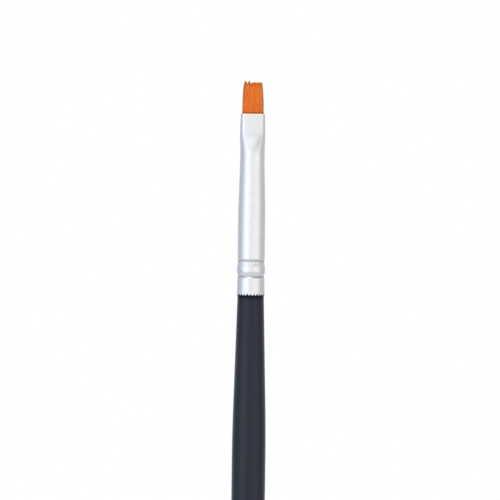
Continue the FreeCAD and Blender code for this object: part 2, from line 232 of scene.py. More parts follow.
def apply_modifier(piece, kind, **settings):
    """Adds a modifier with its settings and applies it."""
    modifier = piece.modifiers.new(kind.title(), kind)
    for key, value in settings.items():
        setattr(modifier, key, value)
    bpy.context.view_layer.objects.active = piece
    bpy.ops.object.modifier_apply(modifier=modifier.name)


def move_vertices(piece, place):
    """Sets each vertex to the place that a function gives for it."""
    for vertex in piece.data.vertices:
        vertex.co = place(vertex.co)
    piece.data.update()


def smooth(piece, angle=35):
    """Shades a piece smooth except at sharp corners."""
    bpy.ops.object.select_all(action="DESELECT")
    piece.select_set(True)
    bpy.context.view_layer.objects.active = piece
    bpy.ops.object.shade_smooth_by_angle(angle=math.radians(angle))


def put_on(piece, body, replaced, material):
    """Makes a finished piece ride on its body and stand for its CAD nodes."""
    piece.data.materials.clear()
    piece.data.materials.append(material)
    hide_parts(*replaced)
    if body:
        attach(piece, body)


def spread(low, high, count):
    """Evenly spaced numbers from low to high."""
    return [low + (high - low) * i / (count - 1) for i in range(count)]


def ease(share):
    """A smooth step from 0 to 1."""
    share = min(max(share, 0), 1)
    return share * share * (3 - 2 * share)


def mix(a, b, share):
    """The value that far from a to b."""
    return a + (b - a) * share


def arch(distance, width, height):
    """How high an arc of that width and height stands, some way from its middle."""
    radius = (width**2 / 4 + height**2) / (2 * height)
    return max(math.sqrt(max(radius**2 - distance**2, 0)) - (radius - height), 0)


def along(profile, height):
    """The value at a height on a line through (height, value) points."""
    for (low, first), (high, second) in zip(profile, profile[1:]):
        if height <= high:
            return mix(first, second, (height - low) / (high - low))
    return profile[-1][1]


def give_attribute(piece, name, values):
    """Stores a number for each vertex of a piece, which its material reads."""
    layer = piece.data.attributes.new(name, "FLOAT", "POINT")
    layer.data.foreach_set("value", values)


# ---------------------------------------------------------------- material helpers


def new_material(name):
    """A node material, its tree and its Principled shader."""
    material = bpy.data.materials.new(name)
    material.use_nodes = True
    tree = material.node_tree
    shader = tree.nodes["Principled BSDF"]
    return material, tree, shader


def feed(tree, socket, value):
    """Links a socket to another, or sets it to a number or a colour."""
    if isinstance(value, bpy.types.NodeSocket):
        tree.links.new(value, socket)
    elif socket.type == "RGBA":
        socket.default_value = (*value[:3], 1)
    else:
        socket.default_value = value


def add_node(tree, kind, **settings):
    """Adds a node. Settings that are sockets of the node are linked or set."""
    node = tree.nodes.new(kind)
    for key, value in settings.items():
        if key in node.inputs:
            feed(tree, node.inputs[key], value)
        else:
            setattr(node, key, value)
    return node


def object_space(tree):
    """Object coordinates in millimetres."""
    source = add_node(tree, "ShaderNodeTexCoord")
    scale = (1 / MM, 1 / MM, 1 / MM)
    mapping = add_node(tree, "ShaderNodeMapping", Vector=source.outputs["Object"], Scale=scale)
    return mapping.outputs["Vector"]


def attribute(tree, name):
    """A number that each vertex of the piece holds."""
    return add_node(tree, "ShaderNodeAttribute", attribute_name=name).outputs["Fac"]


def noise(tree, vector, scale, detail=4, roughness=0.55):
    """A noise value over a vector."""
    node = add_node(
        tree, "ShaderNodeTexNoise", Vector=vector, Scale=scale, Detail=detail, Roughness=roughness
    )
    return node.outputs["Fac"]


def remap(tree, value, low, high, new_low, new_high):
    """A value taken from one range to another and clamped to it."""
    node = add_node(tree, "ShaderNodeMapRange", clamp=True, Value=value)
    for socket, number in zip(node.inputs[1:5], (low, high, new_low, new_high)):
        feed(tree, socket, number)
    return node.outputs["Result"]


def multiply(tree, first, second):
    """The product of two values."""
    node = add_node(tree, "ShaderNodeMath", operation="MULTIPLY")
    feed(tree, node.inputs[0], first)
    feed(tree, node.inputs[1], second)
    return node.outputs["Value"]


def bump(tree, height, distance, normal=None):
    """A bump from a height, its depth in metres."""
    node = add_node(tree, "ShaderNodeBump", Height=height, Distance=distance)
    if normal:
        feed(tree, node.inputs["Normal"], normal)
    return node.outputs["Normal"]


def mix_colour(tree, share, first, second):
    """Two colours mixed by a share. Each colour and the share may be a socket or a value."""
    node = add_node(tree, "ShaderNodeMix", data_type="RGBA")
    share_in, first_in, second_in = node.inputs[0], node.inputs[6], node.inputs[7]
    for socket, value in ((share_in, share), (first_in, first), (second_in, second)):
        feed(tree, socket, value)
    return node.outputs[2]


def shaded(colour_value, share):
    """A colour at a share of its brightness."""
    return [min(part * share, 1) for part in colour_value]


# ---------------------------------------------------------------- shared effects


def shared_group(name, inputs, build):
    """A shader node group, built once. inputs are names and socket kinds, and build fills the
    group from its inputs and returns the value that it puts out."""
    if name in bpy.data.node_groups:
        return bpy.data.node_groups[name]
    group = bpy.data.node_groups.new(name, "ShaderNodeTree")
    for label, kind in inputs.items():
        group.interface.new_socket(name=label, in_out="INPUT", socket_type=f"NodeSocket{kind}")
    group.interface.new_socket(name="Value", in_out="OUTPUT", socket_type="NodeSocketFloat")
    enter = group.nodes.new("NodeGroupInput")
    leave = group.nodes.new("NodeGroupOutput")
    group.links.new(build(group, enter.outputs), leave.inputs["Value"])
    return group


def place_group(tree, group, **values):
    """Places a group in a material, with its inputs, and returns the value it puts out."""
    node = add_node(tree, "ShaderNodeGroup", node_tree=group)
    for key, value in values.items():
        feed(tree, node.inputs[key], value)
    return node.outputs["Value"]


def streaks(tree, across, lengthways, detail=4.0):
    """Streaks along the brush, finer across it than along it."""

    def build(group, given):
        stretch = add_node(group, "ShaderNodeCombineXYZ")
        for axis, name in (("X", "Across"), ("Y", "Across"), ("Z", "Along")):
            feed(group, stretch.inputs[axis], given[name])
        scaled = add_node(group, "ShaderNodeVectorMath", operation="MULTIPLY")
        feed(group, scaled.inputs[0], given["Vector"])
        feed(group, scaled.inputs[1], stretch.outputs["Vector"])
        return noise(group, scaled.outputs["Vector"], 1.0, given["Detail"], 0.6)

    kinds = {"Vector": "Vector", "Across": "Float", "Along": "Float", "Detail": "Float"}
    group = shared_group("streaks", kinds, build)
    return place_group(
        tree, group, Vector=object_space(tree), Across=across, Along=lengthways, Detail=detail
    )


SPECK_SOFTNESS = 0.08


def specks(tree, density, rarity):
    """Small separate marks: dust nibs in a coat, pits in metal, pores in wood. The higher the
    rarity, the fewer they are."""

    def build(group, given):
        value = noise(group, given["Vector"], given["Density"], 1.0)
        full = add_node(group, "ShaderNodeMath", operation="ADD")
        feed(group, full.inputs[0], given["Rarity"])
        feed(group, full.inputs[1], SPECK_SOFTNESS)
        return remap(group, value, given["Rarity"], full.outputs["Value"], 0.0, 1.0)

    kinds = {"Vector": "Vector", "Density": "Float", "Rarity": "Float"}
    group = shared_group("specks", kinds, build)
    return place_group(tree, group, Vector=object_space(tree), Density=density, Rarity=rarity)


def wear(tree, size, strength):
    """Where handling has worn a surface: the worn places that the piece holds, broken up."""

    def build(group, given):
        patches = noise(group, given["Vector"], given["Size"], 5.0, 0.65)
        broken = remap(group, patches, 0.35, 0.65, 0.3, 1.0)
        return multiply(group, multiply(group, given["Worn"], broken), given["Strength"])

    kinds = {"Vector": "Vector", "Worn": "Float", "Size": "Float", "Strength": "Float"}
    group = shared_group("wear", kinds, build)
    return place_group(
        tree, group, Vector=object_space(tree), Worn=attribute(tree, "worn"), Size=size,
        Strength=strength,
    )


# ---------------------------------------------------------------- materials


def lacquer_material(colour_value):
    """Satin black lacquer: a faint orange peel, a few dust nibs, uneven sheen, shinier where
    fingers hold it, and a painted shade just below the ferrule, where its reflection is turned down."""
    material, tree, shader = new_material("satin_black_lacquer")
    drift = streaks(tree, 0.9, 0.11, 3.0)
    base = mix_colour(tree, drift, shaded(colour_value, 0.7), shaded(colour_value, 1.3))
    feed(tree, shader.inputs["Base Color"], base)
    sheen = remap(tree, streaks(tree, 2.2, 0.26), 0.3, 0.7, 0.21, 0.27)
    held = remap(tree, wear(tree, 0.5, 1.0), 0.0, 1.0, 1.0, 0.86)
    feed(tree, shader.inputs["Roughness"], multiply(tree, sheen, held))
    peel = bump(tree, noise(tree, object_space(tree), 2.6, 2.0), 0.003 * MM)
    feed(tree, shader.inputs["Normal"], bump(tree, specks(tree, 9.0, 0.72), 0.005 * MM, peel))
    # Painted shade just below the ferrule: the reflection is turned down there.
    shine = remap(tree, attribute(tree, "seam_shade"), 0.0, 1.0, 0.39, 0.03)
    feed(tree, shader.inputs["Specular IOR Level"], shine)
    return material


def wood_material(colour_value):
    """Turned close-grained wood, its grain along the handle."""
    material, tree, shader = new_material("turned_wood")
    grain = streaks(tree, 5.1, 0.26, 6.0)
    pores = specks(tree, 16.0, 0.62)
    dark = shaded(colour_value, 0.62)
    base = mix_colour(tree, remap(tree, grain, 0.35, 0.68, 0.0, 1.0), colour_value, dark)
    flecked = mix_colour(tree, multiply(tree, pores, 0.5), base, dark)
    feed(tree, shader.inputs["Base Color"], flecked)
    feed(tree, shader.inputs["Roughness"], remap(tree, grain, 0.3, 0.7, 0.5, 0.66))
    feed(tree, shader.inputs["Normal"], bump(tree, pores, -0.01 * MM))
    return material


def metal_material(colour_value, lip_reflection, painted_shade):
    """Satin metal: fine lines drawn along the ferrule, soft blotches, small pits, a polish where it
    stands proud, painted shade in the crimps and on the back of the bead, and a painted reflection
    of the orange tuft at the mouth."""
    material, tree, shader = new_material("satin_ferrule_metal")
    drawn = streaks(tree, 22.0, 0.6, 3.0)
    blotches = noise(tree, object_space(tree), 0.8)
    shade = shaded(colour_value, 0.94)
    base = mix_colour(tree, remap(tree, blotches, 0.3, 0.7, 0.0, 1.0), colour_value, shade)
    lined = mix_colour(tree, remap(tree, drawn, 0.3, 0.75, 0.0, 0.5), base, shade)
    pits = specks(tree, 7.0, 0.70)
    pitted = mix_colour(tree, multiply(tree, pits, 0.25), lined, shaded(colour_value, 0.8))
    # Painted shade in the crimps and on the back of the bead.
    with_painted_shade = mix_colour(tree, attribute(tree, "painted_shade_mask"), pitted, painted_shade)
    # Painted reflection of the orange tuft at the mouth.
    reflection_tinted = mix_colour(tree, attribute(tree, "reflection_tinted"), with_painted_shade, lip_reflection)
    feed(tree, shader.inputs["Base Color"], reflection_tinted)
    satin = remap(tree, blotches, 0.3, 0.7, 0.27, 0.34)
    polished = remap(tree, wear(tree, 1.4, 1.0), 0.0, 1.0, 1.0, 0.78)
    feed(tree, shader.inputs["Roughness"], multiply(tree, satin, polished))
    lines = bump(tree, drawn, 0.001 * MM)
    feed(tree, shader.inputs["Normal"], bump(tree, pits, -0.0015 * MM, lines))
    shader.inputs["Metallic"].default_value = 1.0
    return material


def filament_material(sizes):
    """Translucent dyed filament: each has its own tone, is darker with painted shade where it
    enters the mouth and along the tuft's two edges, and a few tips hold old paint."""
    material, tree, shader = new_material("orange_filament")
    base = mix_colour(tree, attribute(tree, "tone"), sizes.dark, sizes.light)
    mottle = streaks(tree, 3.0, 0.8, 3.0)
    shade = remap(tree, mottle, 0.4, 0.64, 0.0, 0.7)
    mottled = mix_colour(tree, shade, base, shaded(sizes.dark, 0.96))
    # Painted shade along the tuft's two edges.
    edge_shaded = mix_colour(tree, attribute(tree, "edge"), mottled, sizes.edge)
    # Painted shade where the filaments enter the mouth.
    mouth_shaded = mix_colour(tree, attribute(tree, "mouth_shade"), edge_shaded, sizes.mouth_shade)
    tipped = mix_colour(tree, attribute(tree, "stained"), mouth_shaded, sizes.stained)
    feed(tree, shader.inputs["Base Color"], tipped)
    feed(tree, shader.inputs["Roughness"], remap(tree, mottle, 0.3, 0.7, 0.42, 0.55))
    shader.inputs["Specular IOR Level"].default_value = 0.3
    shader.inputs["Subsurface Weight"].default_value = 0.5
    shader.inputs["Subsurface Radius"].default_value = (1.0, 0.35, 0.1)
    shader.inputs["Subsurface Scale"].default_value = 0.12 * MM
    return material


def plain_material(name, base, low, high, scale, roughness, depth):
    """A matt hidden finish: a base colour shaded between two shares of itself by noise, with
    specks, which also roughen it."""
    material, tree, shader = new_material(name)
    value = noise(tree, object_space(tree), scale)
    mixed = mix_colour(tree, value, shaded(base, low), shaded(base, high))
    marks = specks(tree, scale * 3, 0.64)
    speckled = mix_colour(tree, multiply(tree, marks, 0.4), mixed, shaded(base, low * 0.7))
    feed(tree, shader.inputs["Base Color"], speckled)
    feed(tree, shader.inputs["Normal"], bump(tree, value, depth))
    shader.inputs["Roughness"].default_value = roughness
    return material


# ---------------------------------------------------------------- handle

# Where fingers hold the handle, as a share of the way from the belly to the ferrule, and how
# far along it they wear the coat.
HELD_AT = 0.4
HELD_REACH = 15 * MM

# How far below the ferrule the coat's reflection is turned down as a painted shade.
SEAM_SHADE = 0.3 * MM


def tangent_point(centre, radius, point, side):
    """Where a straight line from point touches a circle, in the half plane of radius and
    height."""
    to_point = point - centre
    turned = math.acos(radius / to_point.length)
    angle = math.atan2(to_point.y, to_point.x) - side * turned
    return centre + radius * Vector((math.cos(angle), math.sin(angle)))


def arc_rings(centre, radius, start, end, count):
    """Rings along an arc between two heights."""
    heights = spread(start, end, count)
    return [(centre.x + math.sqrt(radius**2 - (z - centre.y) ** 2), z) for z in heights]


def handle_rings(sizes):
    """The outline of the lacquered handle, from its round tail to its neck."""
    belly, neck, tail = sizes.belly / 2, sizes.neck / 2, sizes.tail / 2
    half = sizes.straight / 2
    rise_centre = Vector((belly - sizes.rise, half))
    fall_centre = Vector((belly - sizes.fall, -half))
    rise_end = tangent_point(rise_centre, sizes.rise, Vector((neck, BACK)), 1)
    fall_end = tangent_point(fall_centre, sizes.fall, Vector((tail, TAIL + tail)), -1)
    rings = []
    for angle in spread(0, math.pi / 2, 17)[1:]:
        rings.append((tail * math.sin(angle), TAIL + tail * (1 - math.cos(angle))))
    for share in spread(0, 1, 26)[1:]:
        rings.append((mix(tail, fall_end.x, share), mix(TAIL + tail, fall_end.y, share)))
    rings += arc_rings(fall_centre, sizes.fall, fall_end.y, -half, 12)[1:]
    rings += [(belly, 0), (belly, half)]
    rings += arc_rings(rise_centre, sizes.rise, half, rise_end.y, 8)[1:]
    for share in spread(0, 1, 24)[1:]:
        rings.append((mix(rise_end.x, neck, share), mix(rise_end.y, BACK, share)))
    return rings


class BRUSH_OT_lacquer(bpy.types.Operator):
    """Turn the lacquer coat of the handle"""

    bl_idname = "brush.lacquer"
    bl_label = "Lacquered handle"

    def execute(self, context):
        sizes = context.scene.brush_handle
        rings = handle_rings(sizes)
        under_teeth = (rings[-1][0], BACK + context.scene.brush_ferrule.tooth)
        coat = turn("handle_lacquer", rings + [under_teeth], sizes.sides, open_end=True)
        apply_modifier(coat, "SOLIDIFY", thickness=sizes.coat, offset=-1)
        held_at = BACK * HELD_AT
        held = [math.exp(-(((v.co.z - held_at) / HELD_REACH) ** 2)) for v in coat.data.vertices]
        give_attribute(coat, "worn", held)
        # Painted shade just below the ferrule.
        seam_shade = [ease((v.co.z - BACK + SEAM_SHADE) / SEAM_SHADE) for v in coat.data.vertices]
        give_attribute(coat, "seam_shade", seam_shade)
        smooth(coat)
        material = lacquer_material(sizes.lacquer)
        put_on(coat, "handle", ["lacquer_coat"], material)
        return {"FINISHED"}


# ---------------------------------------------------------------- ferrule

# The cosine of the angle at which a flat face of the nose meets its round side.
FACE_EDGE = 0.35

# Shape of the swell that the press squeezed out: a lean below 1 moves its peak towards the
# mouth, and a higher power makes it narrower.
SWELL_LEAN = 0.78
SWELL_POWER = 4

# How the crimping tool bit: the range of its teeth's depth, how far up the back edge they
# reach as a multiple of that depth, how far up the dents between them reach, and the height
# over which those dents slant by one tooth.
BITE_RANGE = (0.75, 1.1)
BITE_REACH = 3
DENT_REACH = 1.4 * MM
DENT_SLANT = 2 * MM

# Where the ferrule is polished by handling: the height of the bead's middle above the rear
# crimp and half its polished length, then the polished lengths at the back edge and mouth.
BEAD_MIDDLE = 1.2 * MM
BEAD_POLISH = 1 * MM
BACK_POLISH = 1 * MM
MOUTH_POLISH = 0.5 * MM

# The painted reflection of the orange tuft at the mouth: how far back it is full, then the length
# over which it fades.
REFLECTION_REACH = 0.15 * MM
REFLECTION_FADE = 0.25 * MM


def oval(half_width, half_thickness, angle):
    """A point on a closed curve with round sides and nearly flat faces between them. It is a
    circle where the width is the thickness."""
    reach = min(max(math.cos(angle) / FACE_EDGE, -1), 1)
    face = (half_width - half_thickness) * math.sin(math.pi / 2 * reach)
    return half_thickness * math.cos(angle) + face, half_thickness * math.sin(angle)


def barrel_radius(sizes, height):
    """Radius of the round part of the ferrule, some way in front of its back edge."""
    half = sizes.crimp_width / 2
    rear, front = sizes.crimp_low, sizes.crimp_high
    profile = [
        (0, sizes.rim), (sizes.rim_length, sizes.rim), (rear - half, sizes.barrel),
        (rear + half, sizes.land), (front - half, sizes.land), (front + half, sizes.barrel),
        (sizes.barrel_top, sizes.barrel), (MOUTH - BACK - sizes.press, sizes.waist),
    ]
    bead_length = sizes.bead_top - rear - half
    radius = along(profile, height) / 2
    radius += arch(height - rear - half - bead_length / 2, bead_length, sizes.bead)
    radius -= arch(height - rear, sizes.crimp_width, sizes.crimp_depth)
    radius -= arch(height - front, sizes.crimp_width, sizes.crimp_depth)
    return radius


def ferrule_heights(sizes):
    """Heights of the rings above the back edge: close together at the crimps and the nose."""
    crimped = sizes.crimp_high + sizes.crimp_width
    waist = MOUTH - BACK - sizes.press
    heights = spread(0, crimped, 96)
    heights += spread(crimped, sizes.barrel_top, 8)[1:]
    heights += spread(sizes.barrel_top, waist, 12)[1:]
    heights += spread(waist, MOUTH - BACK, 46)[1:]
    return heights


def nose_point(sizes, angle, behind):
    """Where the press puts a point of the nose, some way behind the mouth."""
    share = behind / sizes.press
    released = ease((behind - sizes.facet) / (sizes.round_depth - sizes.facet))
    half_width = mix(sizes.mouth_width, sizes.waist, share) / 2
    half_width += sizes.swell / 2 * math.sin(math.pi * share**SWELL_LEAN) ** SWELL_POWER
    pressed = sizes.mouth_thickness / 2 + sizes.facet_slope * behind
    return oval(half_width, mix(pressed, half_width, released), angle)


def tooth_wave(turns):
    """A wave of pointed teeth, 0 at a tooth's point and 1 between two teeth."""
    return 1 - abs(2 * (turns % 1) - 1)


def polish_at(sizes, point):
    """How far handling has polished a point: on the bead and at both ends of the tube."""
    height = point.z - BACK
    on_bead = arch(height - sizes.crimp_low - BEAD_MIDDLE, 2 * BEAD_POLISH, BEAD_POLISH)
    at_back = ease(1 - height / BACK_POLISH)
    at_mouth = ease(1 - (MOUTH - point.z) / MOUTH_POLISH)
    return min(on_bead / BEAD_POLISH + at_back + at_mouth, 1)


def painted_shade_at(sizes, point):
    """How much painted shade a point gets: a line along the bottom of each crimp, zigzag in the
    front one, and a fainter band on the back of the bead."""
    height = point.z - BACK
    turns = math.atan2(point.y, point.x) / (2 * math.pi) * sizes.teeth
    front = sizes.crimp_high + sizes.knurl * (tooth_wave(turns) - 0.5)
    rear = sizes.crimp_low - 0.08 * MM
    bead = rear + 0.7 * MM
    # Middle, strength and half width of each line.
    lines = [(front, 1.0, 0.24 * MM), (rear, 0.85, 0.36 * MM), (bead, 0.18, 0.5 * MM)]
    return max(
        strength * ease(1 - abs(height - middle) / half) for middle, strength, half in lines
    )


class BRUSH_OT_ferrule(bpy.types.Operator):
    """Draw, crimp and press the ferrule"""

    bl_idname = "brush.ferrule"
    bl_label = "Ferrule"

    def execute(self, context):
        sizes = context.scene.brush_ferrule
        rings = [(barrel_radius(sizes, z), BACK + z) for z in ferrule_heights(sizes)]
        sides = sizes.teeth * 8
        tube = turn("ferrule_tube", rings, sides, open_start=True, open_end=True)

        rng = random.Random(sizes.teeth)
        depths = [sizes.tooth * rng.uniform(*BITE_RANGE) for _ in range(sizes.teeth)]

        def place(point):
            angle = math.atan2(point.y, point.x)
            height = point.z - BACK
            if height > MOUTH - BACK - sizes.press:
                x, y = nose_point(sizes, angle, max(MOUTH - point.z, 0))
                return Vector((x, y, point.z))
            turns = angle / (2 * math.pi) * sizes.teeth
            bite = depths[int(turns // 1) % sizes.teeth]
            bite *= 1 - ease(height / (BITE_REACH * sizes.tooth))
            reach = abs(height - sizes.crimp_high) / (2 * sizes.crimp_width)
            knurled = sizes.knurl * (tooth_wave(turns) - 0.5) * (1 - ease(reach))
            slanted = tooth_wave(turns + height / DENT_SLANT)
            dented = sizes.facets * slanted * (1 - ease(height / DENT_REACH))
            x, y = Vector((point.x, point.y)) * (1 - dented / (sizes.barrel / 2))
            return Vector((x, y, point.z + bite * tooth_wave(turns) + knurled))

        move_vertices(tube, place)
        apply_modifier(tube, "SOLIDIFY", thickness=sizes.wall, offset=-1)
        vertices = tube.data.vertices
        give_attribute(tube, "worn", [polish_at(sizes, v.co) for v in vertices])
        # Painted shade in the crimps and on the back of the bead.
        give_attribute(tube, "painted_shade_mask", [painted_shade_at(sizes, v.co) for v in vertices])
        # Painted reflection of the orange tuft at the mouth.
        reflection_tinted = [1 - ease((MOUTH - v.co.z - REFLECTION_REACH) / REFLECTION_FADE) for v in vertices]
        give_attribute(tube, "reflection_tinted", reflection_tinted)
        smooth(tube, 50)
        material = metal_material(sizes.metal, sizes.lip_reflection, sizes.painted_shade)
        put_on(tube, "handle", ["ferrule"], material)
        return {"FINISHED"}


# ---------------------------------------------------------------- tuft

# Locks at the tip, from left to right: where each ends and where it gathers to, as shares of
# the half width, how tightly it gathers, how far its middle stands out past the tuft's length
# in millimetres, how fast its sides fall away and how many tips are stained.
LOCKS = [
    (-0.63, -0.88, 0.50, 0.16, 1.7, 0.75),
    (-0.29, -0.46, 0.55, 0.14, 2.0, 0.40),
    (-0.15, -0.21, 0.00, -0.32, 0.0, 0.00),
    (0.34, 0.10, 0.05, -0.15, 0.1, 0.14),
    (0.80, 0.56, 0.00, -0.17, 0.1, 0.14),
    (1.01, 0.98, 0.06, -0.09, 0.2, 0.20),
]

# Where the tips start to gather into locks and where a filament starts to taper, as shares of
# the free length from the mouth, and how much of its radius the taper takes away.
GATHER_START = 0.86
TAPER_START = 0.8
TAPER = 0.75

# Powers of the share of the free length by which the tuft narrows and thins, and how full its
# flat sides are and where that fullness ends.
NARROWING = 2.6
THINNING = 1.5
FULLNESS = 0.08 * MM
FULLNESS_END = 0.625

# Inside the ferrule: how far the filaments run on straight, then over what length they gather.
ROOT_STRAIGHT = 3.2 * MM
ROOT_GATHER = 4.6 * MM

# Small differences between filaments: where they end, in millimetres, their tone, how far
# their tips wander across and through the tuft, how far and in how many half waves they sway,
# their thickness as a share of the usual one, and how far they sit from the regular pack as a
# share of their diameter.
END_SPREAD = 0.07
TONE_SPREAD = 0.13
WANDER = (0.04 * MM, 0.02 * MM)
SWAY = 0.035 * MM
SWAY_WAVES = (1.2, 2.6)
THICK_RANGE = (0.92, 1.05)
SEAT_SPREAD = 0.2

# Side by side groups of filaments of like tone: how many there are, their usual tone and its
# spread.
STRANDS = 15
STRAND_TONE = 0.42
STRAND_SPREAD = 0.18

# Painted shade at the mouth: how far up it reaches and how much that varies in waves across the
# tuft, as shares of the free length, the waves in half the width, and the share where it fades out.
MOUTH_SHADE_RANGE = (0.005, 0.02)
MOUTH_SHADE_WAVE = 0.025
MOUTH_SHADE_WAVES = 3.4
MOUTH_SHADE_FADE = 0.04

# How strongly old paint stains a tip, where it starts and over what share it becomes full.
STAINED_RANGE = (0.4, 1.0)
STAIN_START = 0.92
STAIN_FADE = 0.05

# Painted shade along the tuft's two edges: where it starts and over what width it becomes
# full, as shares of the half width, and how strong it is on the left edge.
EDGE_SHADE_START = 0.82
EDGE_SHADE_FADE = 0.12
LEFT_EDGE_SHADE = 0.7

# Where each filament has its rings: -1 is the heel, 0 the mouth and 1 the tip.
SHARES = [-1.0, -0.7, -0.5, -0.25, 0.0, 0.03, 0.07, 0.2, 0.4, 0.6, 0.76, 0.88, 0.95, 1.0]
FILAMENT_SIDES = 5


def stadium_height(half_width, half_thickness, across):
    """Half the height of a shape with flat faces and round sides, at a share of its width."""
    into_round = max(abs(across) * half_width - (half_width - half_thickness), 0)
    return math.sqrt(max(half_thickness**2 - into_round**2, 0))


def filament_seats(sizes, rng):
    """Where the filaments pass through the mouth, as shares of the half width and of the half
    height there: a close hexagonal pack inside the flat oval."""
    half_width = (sizes.width - sizes.filament) / 2
    half_thickness = (sizes.thickness - sizes.filament) / 2
    step = sizes.filament
    rise = step * math.sqrt(3) / 2
    stray = SEAT_SPREAD * step
    rows = int(half_thickness / rise)
    columns = int(half_width / step) + 1
    seats = []
    for row in range(-rows, rows + 1):
        for column in range(-columns, columns + 1):
            across = (column + row % 2 / 2) * step / half_width
            limit = stadium_height(half_width, half_thickness, min(abs(across), 1))
            if abs(across) <= 1 and abs(row * rise) <= limit:
                across += rng.uniform(-stray, stray) / half_width
                through = row * rise / max(limit, step / 2)
                through += rng.uniform(-stray, stray) / half_thickness
                seats.append((min(max(across, -1), 1), min(max(through, -1), 1)))
    return seats


class Filament:
    """One filament's place in the tuft and its small differences."""

    def __init__(self, sizes, seat, strand_tones, rng):
        self.sizes = sizes
        self.across, self.through = seat
        lock = next(lock for lock in LOCKS if self.across <= lock[0])
        _, self.focus, tightness, proud, fall, stained_share = lock
        self.gather = tightness * rng.uniform(0.4, 1.0)
        proud += rng.gauss(0, END_SPREAD) - fall * abs(self.across - self.focus)
        self.stand = TIP - MOUTH + proud * MM
        strand = min(int((self.across + 1) / 2 * STRANDS), STRANDS - 1)
        self.tone = min(max(rng.gauss(strand_tones[strand], TONE_SPREAD), 0), 1)
        self.wander = Vector([rng.gauss(0, reach) for reach in WANDER])
        self.sway = rng.uniform(-SWAY, SWAY)
        self.waves = rng.uniform(*SWAY_WAVES)
        self.thick = rng.uniform(*THICK_RANGE)
        # How far up the painted shade at the mouth reaches.
        shade_wave = MOUTH_SHADE_WAVE * math.cos(self.across * 2 * math.pi * MOUTH_SHADE_WAVES)
        self.mouth_shade_height = rng.uniform(*MOUTH_SHADE_RANGE) + shade_wave
        self.stained = rng.uniform(*STAINED_RANGE) if rng.random() < stained_share else 0.0

    def middle(self, share):
        """The filament's centre. share is -1 at the heel, 0 at the mouth and 1 at the tip."""
        sizes = self.sizes
        across = self.across
        if share < 0:
            behind = -share * (MOUTH - HEEL)
            gathered = ease((behind - ROOT_STRAIGHT) / ROOT_GATHER)
            heel = sizes.heel / 2 - sizes.filament
            half_width = mix(sizes.width / 2 - sizes.filament, heel, gathered)
            half_thickness = mix(sizes.thickness / 2 - sizes.filament / 2, heel, gathered)
            height = stadium_height(half_width, half_thickness, across)
            return Vector((across * half_width, self.through * height, MOUTH - behind))
        half_width = mix(sizes.width, sizes.tip_width, share**NARROWING) / 2 - sizes.filament / 2
        half_thickness = mix(sizes.thickness, sizes.tip_thickness, share**THINNING) / 2
        half_thickness += FULLNESS * math.sin(math.pi * min(share / FULLNESS_END, 1))
        gathered = self.gather * ease((share - GATHER_START) / (1 - GATHER_START))
        across = mix(across, self.focus, gathered)
        height = stadium_height(half_width, half_thickness - sizes.filament / 2, across)
        swayed = self.sway * math.sin(math.pi * self.waves * share)
        x = across * half_width + self.wander.x * share**2 + swayed * (1 - abs(across))
        y = self.through * height + self.wander.y * share**2
        return Vector((x, y, MOUTH + self.stand * share))

    def radius(self, share):
        """The filament's radius: full for most of its length, then a fine taper."""
        taper = 1 - TAPER * ease((share - TAPER_START) / (1 - TAPER_START))
        return self.sizes.filament / 2 * self.thick * taper

    def mouth_shade(self, share):
        """How much painted shade the filament gets there, near the mouth."""
        return 1 - ease((share - self.mouth_shade_height) / MOUTH_SHADE_FADE)

    def stain(self, share):
        """How much old paint the filament holds there."""
        return self.stained * ease((share - STAIN_START) / STAIN_FADE)

    def edge(self):
        """How much painted shade the filament gets near an edge. The left edge is the paler one."""
        strength = 1.0 if self.across > 0 else LEFT_EDGE_SHADE
        return strength * ease((abs(self.across) - EDGE_SHADE_START) / EDGE_SHADE_FADE)


class BRUSH_OT_tuft(bpy.types.Operator):
    """Lay out the filaments of the tuft one by one"""

    bl_idname = "brush.tuft"
    bl_label = "Tuft"

    def execute(self, context):
        sizes = context.scene.brush_tuft
        rng = random.Random(sizes.seed)
        seats = filament_seats(sizes, rng)
        strand_tones = [rng.gauss(STRAND_TONE, STRAND_SPREAD) for _ in range(STRANDS)]
        filaments = [Filament(sizes, seat, strand_tones, rng) for seat in seats]
        # The filaments start far apart in a row, so that a vertex's place gives its filament.
        apart = 10.0
        tuft = turn("filament_tuft", [(1.0, share) for share in SHARES], FILAMENT_SIDES)
        apply_modifier(
            tuft, "ARRAY", count=len(filaments), use_relative_offset=False,
            use_constant_offset=True, constant_offset_displace=(apart, 0, 0),
        )
        held = {"tone": [], "mouth_shade": [], "stained": [], "edge": []}
        for vertex in tuft.data.vertices:
            number = round(vertex.co.x / apart)
            filament, share = filaments[number], vertex.co.z
            outwards = Vector((vertex.co.x - apart * number, vertex.co.y, 0))
            vertex.co = filament.middle(share) + outwards * filament.radius(share)
            held["tone"].append(filament.tone)
            held["mouth_shade"].append(filament.mouth_shade(share))
            held["stained"].append(filament.stain(share))
            held["edge"].append(filament.edge())
        tuft.data.update()
        for name, values in held.items():
            give_attribute(tuft, name, values)
        smooth(tuft, 80)
        material = filament_material(sizes)
        put_on(tuft, None, ["tuft", "tuft_root"], material)
        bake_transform(tuft)
        return {"FINISHED"}


# ---------------------------------------------------------------- hidden pieces


